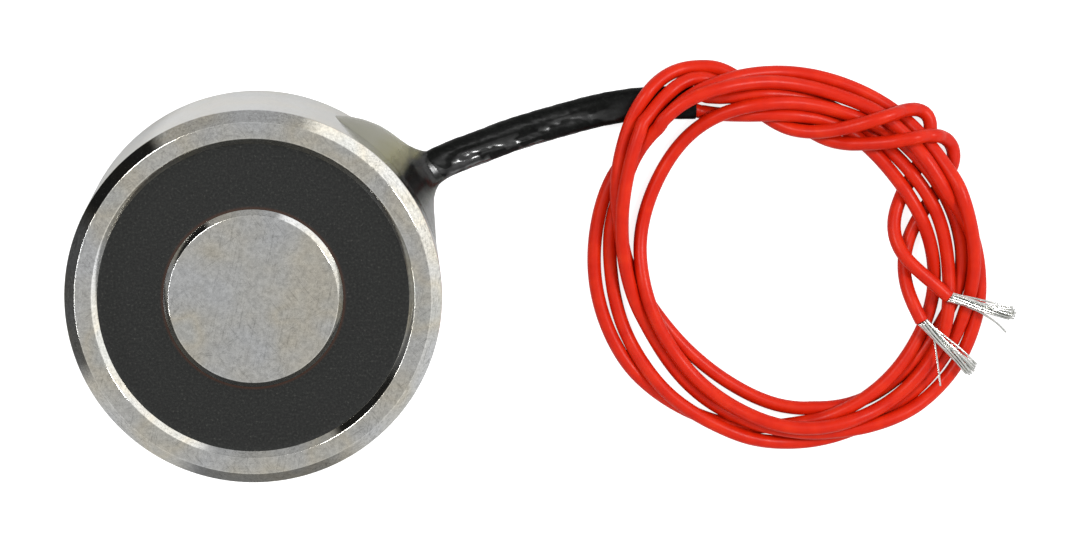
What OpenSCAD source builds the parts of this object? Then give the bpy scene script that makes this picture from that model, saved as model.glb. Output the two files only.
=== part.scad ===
// Holding electromagnet: a pot magnet whose two flying leads are wound into a coil.
// The origin is the centre of the flat back face, and the pole face looks along +Z.

/* [Housing] */
// Outside diameter of the cup
housing_d = 34; // [32:0.5:50]
// Height of the cup from its back to its pole face
housing_h = 18; // [15:0.5:40]
// Thickness of the cup's side wall
wall_t = 3; // [2:0.25:3.5]
// Thickness of the cup's floor
floor_t = 3; // [2:0.25:4]
// Chamfer round the outside of the pole rim
rim_chamfer = 1; // [0.3:0.1:1.2]
// Chamfer round the mouth of the cup's bore
mouth_chamfer = 0.55; // [0.2:0.05:0.7]
// Chamfer round the back edge
back_chamfer = 0.5; // [0.2:0.1:1]

/* [Core] */
// Chamfer round the pole's face
core_chamfer = 0.5; // [0.2:0.1:1]
// Diameter of the spigot pressed into the cup's floor
spigot_d = 10; // [8:0.5:12]
// Diameter of the drilled wall of the tapped hole
tap_drill_d = 3.3; // [2.5:0.1:4.2]
// Depth of the hole at its full diameter
tap_depth = 8; // [5:0.5:12]
// Width of the countersink at the hole's mouth, beyond the hole
tap_countersink = 0.55; // [0.2:0.05:0.8]

/* [Bobbin and winding] */
// Thickness of the winding, from the bobbin out to the tape
winding_t = 2.5; // [1:0.1:3.5]
// Thickness of the bobbin's tube
bobbin_wall = 0.9; // [0.6:0.1:1.5]
// Thickness of each bobbin flange
flange_t = 0.8; // [0.5:0.1:1.5]
// Thickness of the insulating tape round the winding
tape_t = 0.2; // [0.1:0.05:0.4]
// Diameter of the winding's wire
magnet_wire_d = 0.3; // [0.2:0.05:0.5]

/* [Potting] */
// How far the cast resin lies below the pole face
potting_recess = 0.55; // [0.2:0.05:1]
// Thickness of the cast resin over the bobbin
potting_t = 1.15; // [0.8:0.05:2]

/* [Leads] */
// Height of the lead exit above the back face
exit_h = 7; // [6:0.25:8]
// Direction of the lead exit round the cup, in degrees
exit_az = 33; // [0:1:90]
// Outside diameter of a lead
lead_d = 1.3; // [1:0.1:1.5]
// Diameter of a lead's stranded conductor
conductor_d = 0.8; // [0.5:0.05:0.9]
// Bend radius of a lead where it turns inside the cup
lead_bend_r = 1.4; // [1.2:0.1:1.6]
// Diameter of a soldered joint
solder_d = 1; // [0.8:0.05:1.2]
// Thickness of the insulating sleeve over a joint
joint_sleeve_t = 0.25; // [0.15:0.05:0.4]
// Width of the flat shrink sleeve over both leads
sleeve_w = 3.1; // [2.9:0.1:3.6]
// Thickness of that sleeve
sleeve_t = 1.8; // [1.6:0.1:2.2]

/* [Glue] */
// Radius of the ball that the glue's skin follows
glue_r = 8.95; // [8:0.05:10]
// How far the glue stands out of the side wall
glue_bulge = 1.45; // [0.8:0.05:1.8]
// Length of the glue's collar along the sleeve, from the wall
collar_l = 2.4; // [2:0.1:4]
// Thickness of the glue round the sleeve at the collar's outer end
collar_t = 0.3; // [0.2:0.05:0.8]

/* [Lead coil] */
// Centre of the coil, as [x, y]
coil_at = [50, 1.2];
// Inside radius of the coil
coil_in_r = 12.2; // [10:0.1:14]
// Outside radius of the coil
coil_out_r = 19.2; // [16:0.1:22]
// Height of the coil over the table
coil_h = 2.4; // [2:0.1:4]
// Radius on the coil's edges
coil_round = 0.65; // [0.3:0.05:1]

/* [Hidden] */

$fn = 96;
fine = 24;               // sides drawn on a wire or another small round
over = 1;                // run of a cutting tool past the face that it cuts
core_fit = 0.1;          // radial clearance of the bobbin on the core
flange_fit = 0.2;        // radial clearance of the flanges in the cup
lead_fit = 0.15;         // clearance on both sides of a joint's sleeve
sleeve_fit = 0.05;       // radial clearance of a joint's sleeve on its lead
wire_fit = 0.05;         // radial clearance of the winding's wire in the tape
exit_fit = 0.3;          // radial clearance of the flat sleeve in the cup's wall
pair_gap = 0.01;         // half the gap between the two leads side by side
lead_straight = 0.3;     // straight stretch of a lead before it bends

housing_r = housing_d / 2;
bore_r = housing_r - wall_t;
potting_base = housing_h - potting_recess - potting_t;
flange_r = bore_r - flange_fit;
winding_base = floor_t + flange_t;
winding_top = potting_base - flange_t;
winding_l = winding_top - winding_base;
joint_sleeve_in_d = lead_d + 2 * sleeve_fit;
joint_sleeve_d = joint_sleeve_in_d + 2 * joint_sleeve_t;
tape_r = bore_r - joint_sleeve_d - 2 * lead_fit;
winding_r = tape_r - tape_t;
bobbin_out_r = winding_r - winding_t;
bobbin_in_r = bobbin_out_r - bobbin_wall;
core_r = bobbin_in_r - core_fit;
exit_hole_d = sleeve_w + 2 * exit_fit;

// Where a lead turns off the exit's axis to run round the winding
run_r = (tape_r + bore_r) / 2;
bend_y = lead_d / 2 + pair_gap + lead_bend_r;
bend_x = sqrt(pow(run_r + lead_bend_r, 2) - pow(bend_y, 2));
bend_az = atan(bend_y / bend_x);
// Angles from the exit at which a lead's parts begin and end
joint_from_az = 22;
insulation_az = 26;
solder_from_az = 31;
solder_to_az = 38;
joint_to_az = 44;
wire_drop_az = 50;

// Route of a lead inside the cup, seen from the exit: straight, bend, and run
inner_points = concat(
    [[bend_x + lead_straight, bend_y - lead_bend_r, 0]],
    [for (a = [270 : (bend_az - 90) / 6 : 180 + bend_az + 1])
        [bend_x + lead_bend_r * cos(a), bend_y + lead_bend_r * sin(a), 0]],
    [for (a = [bend_az : (insulation_az - bend_az) / 4 : insulation_az + 0.1])
        [run_r * cos(a), run_r * sin(a), 0]]);
// Point on the exit's axis at a distance from the cup's axis
function on_exit(r) = [r * cos(exit_az), r * sin(exit_az), exit_h];
// Route of the flat sleeve: its centre line from the bore to its end under the coil
sleeve_points = [on_exit(bend_x + lead_straight), on_exit(housing_r + 0.4),
                 [16.6, 10.6, 6.7], [18.6, 11.4, 5.9], [20.9, 12.1, 4.8], [23.4, 12.9, 3.6],
                 [26.1, 13.6, 2.5], [29, 14.3, 1.6], [32, 15, 1], [35, 15.5, 0.9],
                 [38, 15.7, 0.9], [41.2, 15.7, 0.9]];
// Routes of the two tails, from the inside of the coil to the end of the insulation
tail_a_points = [[60.9, 6.9, 1.1], [60.1, 5.4, 1.3], [59.8, 3.9, 1.8], [60, 2.5, 2.4],
                 [60.8, 1.1, 3], [62.2, -0.1, 3.1], [63.6, -1.2, 3.1], [65.1, -2.6, 3.1]];
tail_b_points = [[62.1, 4.3, 0.7], [61.5, 2.6, 0.7], [61.1, 1, 0.9], [61, -0.7, 1.6],
                 [61.3, -2.3, 2.6], [61.9, -3.6, 3], [62.6, -4.9, 3.1]];
// Routes of the stripped strands beyond them
strip_a_points = [[65.1, -2.6, 3.1], [67.2, -3.2, 2.9], [69.4, -3.9, 2.8], [71.4, -4.4, 2.4]];
strip_b_points = [[62.6, -4.9, 3.1], [64.2, -6.5, 2.9], [65.9, -8.1, 2.8], [67.6, -9.8, 2.5]];

steel = [0.66, 0.65, 0.63];
resin = [0.16, 0.16, 0.16];
nylon = [0.9, 0.88, 0.82];
copper = [0.72, 0.35, 0.16];
polyester = [0.85, 0.72, 0.2];
red_pvc = [0.86, 0.16, 0.1];
tin = [0.8, 0.8, 0.78];
shrink_black = [0.06, 0.06, 0.06];
clear_glue = [0.55, 0.54, 0.45];

function unit(v) = v / norm(v);
// Direction of a route at its point i
function heading(p, i) = unit(p[min(i + 1, len(p) - 1)] - p[max(i - 1, 0)]);
// One ring of a swept tube: each section point [side, up] set level across the route
function ring_at(p, i, section) =
    let (ahead = heading(p, i), side = unit(cross([0, 0, 1], ahead)), up = cross(ahead, side))
    [for (s = section) p[i] + s[0] * side + s[1] * up];
function round_section(d, sides) =
    [for (k = [0 : sides - 1]) d / 2 * [cos(360 * k / sides), sin(360 * k / sides)]];
// Flat section with two round ends, six points to each end
function flat_section(w, t) =
    [for (end = [1, -1], a = [-75 : 30 : 75])
        end * [(w - t + t * cos(a)) / 2, t * sin(a) / 2]];

// A tube swept along a route's points, closed at both ends
module sweep(points, section) {
    sides = len(section);
    last = len(points) - 1;
    rings = [for (i = [0 : last]) each ring_at(points, i, section)];
    walls = [for (i = [0 : last - 1], k = [0 : sides - 1])
        let (a = i * sides + k, b = i * sides + (k + 1) % sides)
        each [[b + sides, b, a], [a + sides, b + sides, a]]];
    start_cap = [for (k = [0 : sides - 1]) k];
    end_cap = [for (k = [sides - 1 : -1 : 0]) last * sides + k];
    polyhedron(rings, concat(walls, [start_cap, end_cap]));
}

// A round bar bent about the cup's axis, at the radius where the leads run
module run_bar(d, from_az, to_az) {
    rotate([0, 0, from_az])
        rotate_extrude(angle = to_az - from_az)
            translate([run_r, 0]) circle(d = d, $fn = fine);
}

// Puts a lead's inner pieces at the exit: side is 1 for lead a and -1 for lead b
module at_exit(side) {
    rotate([0, 0, exit_az]) translate([0, 0, exit_h])
        if (side > 0) children();
        else mirror([0, 1, 0]) children();
}

module housing() {
    color(steel) difference() {
        rotate_extrude()
            polygon([
                [spigot_d / 2, 0], [housing_r - back_chamfer, 0], [housing_r, back_chamfer],
                [housing_r, housing_h - rim_chamfer], [housing_r - rim_chamfer, housing_h],
                [bore_r + mouth_chamfer, housing_h], [bore_r, housing_h - mouth_chamfer],
                [bore_r, floor_t], [spigot_d / 2, floor_t]
            ]);
        at_exit(1) translate([bore_r - over, 0, 0]) rotate([0, 90, 0])
            cylinder(d = exit_hole_d, h = wall_t + 2 * over);
    }
}

module core() {
    tap_r = tap_drill_d / 2;
    drill_point = 0.6 * tap_r;
    color(steel) rotate_extrude()
        polygon([
            [tap_r + tap_countersink, 0], [spigot_d / 2, 0], [spigot_d / 2, floor_t],
            [core_r, floor_t], [core_r, housing_h - core_chamfer],
            [core_r - core_chamfer, housing_h], [0, housing_h], [0, tap_depth + drill_point],
            [tap_r, tap_depth], [tap_r, tap_countersink]
        ]);
}

module bobbin() {
    slot_w = 2 * magnet_wire_d;
    color(nylon) difference() {
        rotate_extrude()
            polygon([
                [bobbin_in_r, floor_t], [flange_r, floor_t], [flange_r, winding_base],
                [bobbin_out_r, winding_base], [bobbin_out_r, winding_top],
                [flange_r, winding_top], [flange_r, potting_base], [bobbin_in_r, potting_base]
            ]);
        // Slot in the rear flange, where the start of the winding comes out
        rotate([0, 0, exit_az + wire_drop_az])
            translate([bobbin_out_r, -slot_w / 2, floor_t - over])
                cube([flange_r, slot_w, flange_t + over]);
    }
}

module winding() {
    color(copper) translate([0, 0, winding_base]) difference() {
        cylinder(r = winding_r, h = winding_l);
        translate([0, 0, -over]) cylinder(r = bobbin_out_r, h = winding_l + 2 * over);
    }
}

module winding_tape() {
    color(polyester) difference() {
        translate([0, 0, winding_base]) cylinder(r = tape_r, h = winding_l);
        translate([0, 0, winding_base - over]) cylinder(r = winding_r, h = winding_l + 2 * over);
        // Hole where the finish of the winding comes out
        at_exit(-1) rotate([0, 0, wire_drop_az]) translate([winding_r - over, 0, 0])
            rotate([0, 90, 0]) cylinder(d = magnet_wire_d + 2 * wire_fit, h = tape_t + 2 * over);
    }
}

module potting() {
    color(resin) translate([0, 0, potting_base]) difference() {
        cylinder(r = bore_r, h = potting_t);
        translate([0, 0, -over]) cylinder(r = core_r, h = potting_t + 2 * over);
    }
}

// One lead inside the cup: it turns off the exit's axis and follows the winding
module inner_lead(side) {
    at_exit(side) {
        color(red_pvc) sweep(inner_points, round_section(lead_d, 12));
        color(tin) run_bar(conductor_d, insulation_az - 1, solder_from_az);
    }
}

module solder_joint(side) {
    color(tin) at_exit(side) run_bar(solder_d, solder_from_az, solder_to_az);
}

module joint_sleeve(side) {
    color(shrink_black) at_exit(side) rotate([0, 0, joint_from_az])
        rotate_extrude(angle = joint_to_az - joint_from_az)
            translate([run_r, 0]) difference() {
                circle(d = joint_sleeve_d, $fn = fine);
                circle(d = joint_sleeve_in_d, $fn = fine);
            }
}

// Start of the winding: from under its first layer, through the rear flange's slot
module coil_end_a() {
    slot_z = floor_t + flange_t / 2 - exit_h;
    start_r = bobbin_out_r + magnet_wire_d;
    color(copper) at_exit(1) {
        run_bar(magnet_wire_d, solder_to_az, wire_drop_az);
        rotate([0, 0, wire_drop_az]) {
            translate([run_r, 0, slot_z]) cylinder(d = magnet_wire_d, h = -slot_z, $fn = fine);
            translate([start_r, 0, slot_z]) rotate([0, 90, 0])
                cylinder(d = magnet_wire_d, h = run_r - start_r, $fn = fine);
            translate([start_r, 0, slot_z]) cylinder(d = magnet_wire_d, h = flange_t / 2, $fn = fine);
            for (corner = [[run_r, 0, 0], [run_r, 0, slot_z], [start_r, 0, slot_z]])
                translate(corner) sphere(d = magnet_wire_d, $fn = fine);
        }
    }
}

// Finish of the winding: from its last layer, straight out through the tape
module coil_end_b() {
    color(copper) at_exit(-1) {
        run_bar(magnet_wire_d, solder_to_az, wire_drop_az);
        rotate([0, 0, wire_drop_az]) {
            translate([winding_r, 0, 0]) rotate([0, 90, 0])
                cylinder(d = magnet_wire_d, h = run_r - winding_r, $fn = fine);
            translate([run_r, 0, 0]) sphere(d = magnet_wire_d, $fn = fine);
        }
    }
}

module lead_sleeve() {
    color(shrink_black) sweep(sleeve_points, flat_section(sleeve_w, sleeve_t));
}

// Glue on the side wall: a low dome, and a collar that tapers along the sleeve
module glue_bead() {
    color(clear_glue) difference() {
        at_exit(1) {
            translate([housing_r + glue_bulge - glue_r, 0, 0]) sphere(r = glue_r);
            translate([housing_r - over, 0, 0]) rotate([0, 90, 0])
                cylinder(d1 = 2 * sleeve_w, d2 = sleeve_w + 2 * collar_t, h = collar_l + over);
        }
        translate([0, 0, -glue_r]) cylinder(r = housing_r, h = housing_h + 2 * glue_r);
    }
}

module lead_coil() {
    ring_w = coil_out_r - coil_in_r;
    color(red_pvc) translate([coil_at[0], coil_at[1], 0]) rotate_extrude()
        translate([coil_in_r, 0]) {
            translate([coil_round, 0]) square([ring_w - 2 * coil_round, coil_h]);
            translate([0, coil_round]) square([ring_w, coil_h - 2 * coil_round]);
            for (x = [coil_round, ring_w - coil_round], z = [coil_round, coil_h - coil_round])
                translate([x, z]) circle(r = coil_round, $fn = fine);
        }
}

module lead_tail(points) {
    color(red_pvc) sweep(points, round_section(lead_d, 8));
}

module stripped_end(points) {
    color(tin) sweep(points, round_section(conductor_d, 8));
}

housing();
core();
bobbin();
winding();
winding_tape();
potting();
inner_lead(1);  // inner_lead_a
inner_lead(-1);  // inner_lead_b
solder_joint(1);  // solder_joint_a
solder_joint(-1);  // solder_joint_b
joint_sleeve(1);  // joint_sleeve_a
joint_sleeve(-1);  // joint_sleeve_b
coil_end_a();
coil_end_b();
lead_sleeve();
glue_bead();
lead_coil();
lead_tail(tail_a_points);  // lead_tail_a
lead_tail(tail_b_points);  // lead_tail_b
stripped_end(strip_a_points);  // stripped_end_a
stripped_end(strip_b_points);  // stripped_end_b
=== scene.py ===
import math

import bmesh
import bpy
import numpy as np
from mathutils import Matrix, Vector


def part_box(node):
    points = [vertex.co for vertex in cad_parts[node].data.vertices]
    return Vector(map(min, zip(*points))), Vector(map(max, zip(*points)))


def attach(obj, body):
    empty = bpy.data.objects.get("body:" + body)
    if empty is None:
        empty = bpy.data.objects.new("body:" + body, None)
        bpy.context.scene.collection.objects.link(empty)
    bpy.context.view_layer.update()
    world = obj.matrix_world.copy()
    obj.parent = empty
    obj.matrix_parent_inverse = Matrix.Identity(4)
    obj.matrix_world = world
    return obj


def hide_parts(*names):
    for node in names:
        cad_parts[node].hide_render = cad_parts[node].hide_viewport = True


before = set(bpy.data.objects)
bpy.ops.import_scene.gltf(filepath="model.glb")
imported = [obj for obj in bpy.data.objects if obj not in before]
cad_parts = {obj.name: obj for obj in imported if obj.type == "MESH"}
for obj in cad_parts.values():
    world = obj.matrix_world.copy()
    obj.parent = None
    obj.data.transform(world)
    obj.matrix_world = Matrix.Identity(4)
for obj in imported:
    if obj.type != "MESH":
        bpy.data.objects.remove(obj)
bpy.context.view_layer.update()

mm = 0.001
print("frame loaded:", len(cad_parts), "nodes")


# Camera: a long lens almost straight above, leaning a little towards the back of the cup
camera = {
    "place": (0.009868, 0.054943, 0.361192),
    "right": (0.998926, 0.0, 0.046342),
    "up": (0.007024, 0.988446, -0.151413),
    "back": (-0.045806, 0.151576, 0.987384),
    "lens": 128.67,                          # mm, on a sensor 36 mm wide
}

lens = bpy.data.cameras.new("camera")
lens.lens = camera["lens"]
lens.sensor_width = 36
lens.clip_start = 0.01
lens.clip_end = 10
cameraObject = bpy.data.objects.new("camera", lens)
bpy.context.scene.collection.objects.link(cameraObject)
turned = Matrix((camera["right"], camera["up"], camera["back"])).transposed().to_4x4()
cameraObject.matrix_world = Matrix.Translation(camera["place"]) @ turned
bpy.context.scene.camera = cameraObject
print("camera placed")


# Lines: a smooth curve through given points, and the same curve in even steps
def smoothLine(points, step):
    knots = np.array(points, float)
    ends = np.vstack([2 * knots[0] - knots[1], knots, 2 * knots[-1] - knots[-2]])
    between = 12                             # points drawn for each given one
    fine = []
    for i in range(len(knots) - 1):
        a, b, c, d = ends[i:i + 4]
        for t in np.linspace(0, 1, between, endpoint=False):
            fine.append(0.5 * (2 * b + (c - a) * t + (2 * a - 5 * b + 4 * c - d) * t ** 2
                               + (3 * b - a - 3 * c + d) * t ** 3))
    fine.append(knots[-1])
    return evenLine(np.array(fine), step)


def distanceAlong(line):
    return np.concatenate([[0], np.cumsum(np.linalg.norm(np.diff(line, axis=0), axis=1))])


def evenLine(line, step):
    along = distanceAlong(line)
    count = max(2, int(round(along[-1] / step)) + 1)
    places = np.linspace(0, along[-1], count)
    return np.column_stack([np.interp(places, along, line[:, k]) for k in range(3)])


def lineLength(line):
    return float(np.linalg.norm(np.diff(line, axis=0), axis=1).sum())


# The flat sleeve's route, from the wall to its end under the coil, in mm
exitAngle = math.radians(33)
sleeve = {
    "start": 14.451,                         # mm from the cup's axis, inside the wall
    "outAt": 17.4,                           # mm from the axis, just outside the wall
    "exitHeight": 7,
    "route": [(16.6, 10.6, 6.7), (18.6, 11.4, 5.9), (20.9, 12.1, 4.8), (23.4, 12.9, 3.6),
              (26.1, 13.6, 2.5), (29, 14.3, 1.6), (32, 15, 1), (35, 15.5, 0.9),
              (38, 15.7, 0.9), (41.2, 15.7, 0.9)],
    "wall": 0.25,
    "width": 3.1,
    "thickness": 1.8,
    "step": 0.7,
    "drawnStep": 0.28,
    "sides": 44,
    "freeFrom": 6,                           # mm along it, where the glue lets go of it
    "tightAt": (7.5, 5),                     # mm along it, and how far: where it sinks most
    "sink": (0.16, 0.25),                    # share of its height, everywhere and there
    "waist": (0.26, 0.42),                   # mm: how wide the sunk middle is, on top and below
    "crease": (-0.8, 0.6),                   # mm from the middle, and how wide: its folds on top
    "creaseDepth": 0.16,
    "rippleDepth": 0.018,
    "overlap": 12,                           # steps that its inside is drawn back from the cut end
}


def onExit(radius):
    return (radius * math.cos(exitAngle), radius * math.sin(exitAngle), sleeve["exitHeight"])


sleevePoints = [onExit(sleeve["start"]), onExit(sleeve["outAt"])] + sleeve["route"]
sleeveLine = smoothLine(sleevePoints, sleeve["step"])


def sideways(line):
    ahead = np.gradient(line, axis=0)
    across = np.cross([0, 0, 1], ahead)
    return across / np.linalg.norm(across, axis=1)[:, None]


# The two leads, side by side in the sleeve and then round the coil. Each stop is
# [direction in degrees clockwise from the back, radius mm, height of the wire's middle mm]
lead = {
    "diameter": 1.3,
    "gap": 0.01,                             # mm from the sleeve's middle line to each lead
    "coilAt": (50, 1.2),
    "seenHeight": 2.0,                       # height at which the radii were read
    "slide": (0.111, -0.149),                # how far the line of sight moves per mm down
    "step": 0.75,
    "soften": 2,                             # steps over which the listed route is rounded off
    "drawnStep": 0.42,
    "sides": 18,
    "endRings": [(0.05, 0.02), (0.08, 0.1), (0.06, 0.24)],   # [out, in] mm, for the cut end
}
leadAStops = [
    [332, 15.2, 0.9], [338, 14.4, 1.3], [343, 14.0, 1.8], [351, 13.7, 2.0], [1, 13.4, 1.9],
    [11, 13.4, 1.1], [19, 13.6, 0.7], [28, 13.2, 0.65], [38, 12.8, 0.65], [47, 12.5, 0.9],
    [55, 12.55, 1.6], [62, 12.68, 1.95], [68, 12.93, 1.95], [77, 13.25, 1.7], [86, 13.62, 1.0],
    [94, 14.05, 0.65], [107, 14.6, 0.65], [120, 14.8, 0.8], [133, 15.2, 1.3], [142, 15.45, 1.8],
    [149, 15.65, 1.95], [157, 15.8, 1.95], [164, 15.9, 1.8], [171, 16.0, 1.2], [178, 16.25, 0.7],
    [185, 16.5, 0.65], [195, 17.0, 0.65], [208, 17.5, 0.65], [219, 17.8, 0.65], [230, 18.15, 0.65],
    [241, 18.45, 0.65], [257, 18.5, 0.65], [271, 18.5, 0.65], [287, 18.5, 0.65], [294, 18.4, 0.65],
    [299, 18.0, 0.65], [304, 17.6, 0.65], [312, 17.6, 1.3], [318, 17.75, 2.2], [324, 18.0, 2.45],
    [330, 18.1, 2.45], [337, 18.0, 2.2], [343, 17.8, 1.9], [350, 17.7, 1.0], [356, 17.6, 0.65],
    [8, 17.4, 0.65], [19, 17.1, 0.65], [28, 17.1, 0.65], [36, 17.1, 0.65], [45, 17.1, 0.9],
    [53, 17.05, 1.7], [58, 17.0, 1.8], [63, 16.8, 2.2], [69, 16.75, 2.8], [76, 17.2, 2.8], [85, 17.65, 2.0],
    [95, 17.8, 1.4], [106, 17.85, 0.65], [118, 17.95, 0.65], [130, 17.95, 0.65], [140, 17.95, 0.65],
    [150, 17.9, 0.65], [160, 18.0, 0.65], [170, 18.1, 0.65], [181, 18.1, 0.8], [187, 18.0, 1.2],
    [193, 17.8, 1.6], [205, 17.4, 1.95], [211, 17.5, 1.95], [218, 17.5, 1.6], [226, 17.4, 1.1],
    [234, 17.3, 0.7], [242, 17.1, 0.65], [249, 17.1, 0.65], [262, 16.9, 0.65], [274, 17.0, 0.65],
    [282, 17.1, 0.65], [290, 17.2, 0.7], [296, 17.4, 1.3], [302, 17.7, 1.9], [308, 17.9, 1.95],
    [314, 17.95, 2.4], [319, 17.9, 3.1], [323, 17.8, 3.5], [328, 17.7, 3.6], [332, 17.5, 3.5],
    [338, 17.3, 3.1], [344, 17.1, 2.8], [352, 16.7, 2.0], [359, 16.5, 1.6], [6, 16.2, 1.6],
    [13, 16.0, 1.6], [20, 15.9, 1.6], [27, 15.9, 1.5], [38, 15.95, 1.6], [50, 15.9, 2.8],
    [56, 15.8, 3.0], [61, 15.85, 2.4], [67, 16.1, 1.6], [72, 16.6, 1.0], [78, 17.2, 0.65],
    [84, 17.65, 0.65], [90, 18.1, 0.65], [100, 18.7, 0.65], [115, 19.25, 0.65], [126, 19.5, 0.65],
    [137, 19.25, 0.7], [144, 18.9, 1.1], [150, 18.3, 1.7], [155, 18.05, 1.95], [160, 17.8, 1.95],
    [165, 17.5, 1.95], [170, 17.2, 1.9], [180, 16.7, 1.9], [187, 16.5, 1.9], [196, 16.3, 1.5],
    [207, 16.0, 0.8], [215, 15.6, 0.65], [225, 15.3, 0.65], [235, 15.0, 0.65], [245, 14.8, 0.7],
    [250, 14.9, 1.1], [256, 15.1, 1.7], [262, 15.3, 1.95], [269, 15.6, 1.95], [276, 15.9, 2.1],
    [283, 16.2, 2.6], [290, 16.7, 3.0], [297, 17.1, 3.1], [303, 17.4, 3.2], [307, 17.75, 3.3],
    [310, 18.0, 3.3], [314, 18.5, 3.1], [320, 19.1, 2.6], [323, 19.4, 2.5], [327, 19.5, 2.4],
    [331, 19.35, 1.9], [335, 19.0, 1.3], [338, 18.6, 0.8], [341, 17.3, 0.65], [344, 15.6, 0.65],
    [348.5, 14.1, 0.65], [353, 12.9, 0.65], [358, 12.2, 0.8], [5, 11.9, 1.4], [11, 11.9, 1.95],
    [16, 12.3, 1.9], [21, 12.9, 2.1], [27, 13.9, 2.8], [32, 15.4, 3.2], [37, 17.0, 2.85],
    [40.5, 18.4, 2.3], [43.5, 19.15, 1.75], [46.5, 19.0, 1.2], [49, 17.95, 0.75], [52, 16.5, 0.65],
    [55, 15.1, 0.65], [58, 13.5, 0.65],
]
leadBStops = [
    [332.5, 16.9, 1.0], [336, 16.4, 1.3], [340, 16.15, 1.8], [346, 15.85, 2.0], [350, 15.7, 1.9],
    [354, 15.6, 1.4], [1, 15.4, 0.8], [7, 15.1, 0.65], [15, 14.9, 0.65], [22, 14.6, 0.65],
    [30, 14.3, 0.65], [38, 13.9, 0.65], [46, 13.93, 0.8], [54, 14.06, 1.6], [61, 14.2, 1.95],
    [67, 14.43, 1.95], [74, 14.75, 1.7], [79, 15.02, 1.6], [86, 15.07, 1.95], [93, 15.27, 1.95],
    [102, 15.7, 1.9], [110, 16.35, 1.6], [119, 16.85, 1.5], [127, 17.1, 1.5], [141, 17.35, 1.8],
    [150, 17.3, 2.3], [157, 17.25, 2.9], [163, 17.2, 3.1], [169, 17.0, 3.2], [176, 16.7, 3.2],
    [183, 16.4, 3.2], [190, 15.9, 2.8], [197, 15.4, 2.3], [208, 15.0, 1.7], [215, 14.7, 1.55],
    [222, 14.4, 1.55], [231, 14.1, 1.55], [243, 13.9, 1.7], [248, 13.9, 1.9], [255, 14.0, 1.95],
    [261, 14.1, 1.7], [272, 14.2, 1.0], [280, 14.3, 0.65], [290, 14.35, 0.65], [300, 14.5, 0.65],
    [310, 14.75, 0.8], [317, 14.9, 1.2], [323, 15.0, 2.0], [328, 15.05, 2.4], [334, 15.05, 2.3],
    [341, 15.0, 2.5], [348, 14.9, 2.8], [355, 14.75, 2.7], [2, 14.65, 2.2], [9, 14.55, 1.9],
    [15, 14.5, 1.95], [21, 14.5, 1.95], [28, 14.7, 1.95], [34, 15.0, 1.8], [40, 15.2, 1.3],
    [45, 15.33, 1.0], [50, 15.4, 1.4], [55, 15.43, 1.9], [60, 15.57, 1.95], [65, 15.73, 1.9],
    [72, 16.08, 1.4], [80, 16.55, 0.7], [90, 16.78, 0.65], [99, 16.75, 0.65], [108, 16.35, 0.65],
    [118, 15.95, 0.65], [130, 15.85, 0.65], [142, 15.9, 0.65], [150, 15.85, 0.65], [160, 15.65, 0.65],
    [169, 15.3, 0.65],
    [176, 14.95, 0.65], [184, 14.5, 0.65], [191, 14.0, 0.65], [202, 13.45, 0.65], [208, 13.3, 0.65],
    [215, 13.1, 0.65], [224, 13.1, 0.65], [233, 13.2, 0.65], [240, 13.4, 0.65],
    [247, 13.65, 0.65], [252, 14.0, 0.65], [258, 14.6, 0.65], [264, 15.1, 0.65],
    [270, 15.6, 0.65], [277, 16.1, 0.7], [283, 16.6, 1.3], [289, 17.2, 1.9], [295, 18.0, 1.95],
    [301, 18.5, 1.95], [306, 19.1, 2.1], [311, 19.8, 2.45], [319, 20.6, 2.45], [323, 20.8, 2.4],
    [327, 20.8, 2.2], [331, 20.5, 1.8], [335, 19.9, 1.2], [338, 19.2, 0.8], [341, 17.9, 0.65],
    [344, 16.9, 0.65], [348, 15.7, 0.65], [352, 14.75, 0.65], [359, 13.5, 0.65], [6, 12.5, 0.65],
    [13, 11.7, 0.65], [21, 11.4, 0.65], [24, 11.7, 0.8], [28, 12.2, 1.4], [32, 12.8, 1.9],
    [36, 13.3, 2.1], [40, 13.95, 2.4], [43, 15.0, 2.9], [47, 16.6, 3.3], [50, 18.0, 3.0],
    [53, 18.75, 2.4], [56, 19.0, 1.8], [59, 18.8, 1.2], [61.5, 17.95, 0.75], [64, 16.6, 0.65],
    [67, 15.3, 0.65], [70, 14.1, 0.65], [73, 13.0, 0.65],
]
# The tails, from inside the coil to the end of the insulation, in mm
tails = {
    "a": [(60.9, 6.9, 1.1), (60.1, 5.4, 1.3), (59.8, 3.9, 1.8), (60, 2.5, 2.4), (60.8, 1.1, 3),
          (62.2, -0.1, 3.1), (63.6, -1.2, 3.1), (65.1, -2.6, 3.1)],
    "b": [(62.1, 4.3, 0.7), (61.5, 2.6, 0.7), (61.1, 1, 0.9), (61, -0.7, 1.6),
          (61.3, -2.3, 2.6), (61.9, -3.6, 3), (62.6, -4.9, 3.1)],
}


def coilPoints(stops):
    points = []
    for direction, radius, height in stops:
        turn = math.radians(direction)
        drop = lead["seenHeight"] - height
        points.append((lead["coilAt"][0] + radius * math.sin(turn) + lead["slide"][0] * drop,
                       lead["coilAt"][1] + radius * math.cos(turn) + lead["slide"][1] * drop,
                       height))
    return points


# Rounds a line off: each point moves to a bell-weighted mean of the points beside it
def softened(line, reach):
    weights = np.exp(-0.5 * (np.arange(-3 * reach, 3 * reach + 1) / reach) ** 2)
    weights /= weights.sum()
    pad = 3 * reach
    padded = np.vstack([2 * line[0] - line[pad:0:-1], line, 2 * line[-1] - line[-2:-pad - 2:-1]])
    return np.column_stack([np.convolve(padded[:, k], weights, "valid") for k in range(3)])


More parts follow.
